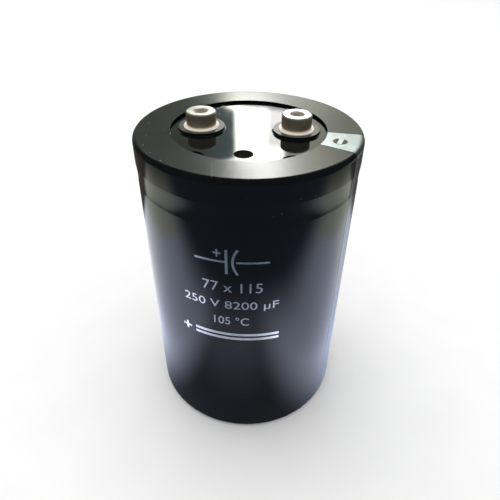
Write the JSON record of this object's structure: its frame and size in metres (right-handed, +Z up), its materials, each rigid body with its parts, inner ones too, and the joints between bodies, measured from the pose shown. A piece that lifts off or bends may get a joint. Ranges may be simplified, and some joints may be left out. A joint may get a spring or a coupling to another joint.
{
  "type": "electrolytic capacitor",
  "caption": "Cylindrical aluminium electrolytic capacitor in a black sleeved can, with screw terminals on its deck, a vent plug and a polarity stripe.",
  "frame": {"origin": "centre of the can's closed end, on the plane it stands on", "axes": "+Z up along the can's axis, the terminals on X with the positive one on -X, and the vent on -Y"},
  "size_m": [0.077, 0.077, 0.1204],
  "materials": {
    "can_aluminium": "drawn",
    "sleeve_film": "satin shrink film",
    "stripe_ink": "silver printing ink",
    "disc_plastic": "matte",
    "deck_moulding": "polished moulding",
    "gasket_rubber": "matte",
    "terminal_aluminium": "turned",
    "vent_rubber": "matte",
    "winding_paper": "soaked",
    "tape_film": "adhesive tape",
    "spacer_plastic": "natural",
    "anchoring_pitch": "poured",
    "tab_foil": "foil"
  },
  "bodies": {
    "root": {"can": "can_aluminium", "sleeve": "sleeve_film", "polarity_stripe": "stripe_ink", "bottom_disc": "disc_plastic", "deck": "deck_moulding", "deck_gasket": "gasket_rubber", "positive_terminal": "terminal_aluminium", "negative_terminal": "terminal_aluminium", "vent_plug": "vent_rubber", "winding": "winding_paper", "closing_tape": "tape_film", "lower_spacer": "spacer_plastic", "upper_spacer": "spacer_plastic", "anchoring_compound": "anchoring_pitch", "positive_tab_inner": "tab_foil", "positive_tab_middle": "tab_foil", "positive_tab_outer": "tab_foil", "negative_tab_inner": "tab_foil", "negative_tab_middle": "tab_foil", "negative_tab_outer": "tab_foil", "positive_washer": "tab_foil", "negative_washer": "tab_foil"}
  },
  "joints": []
}
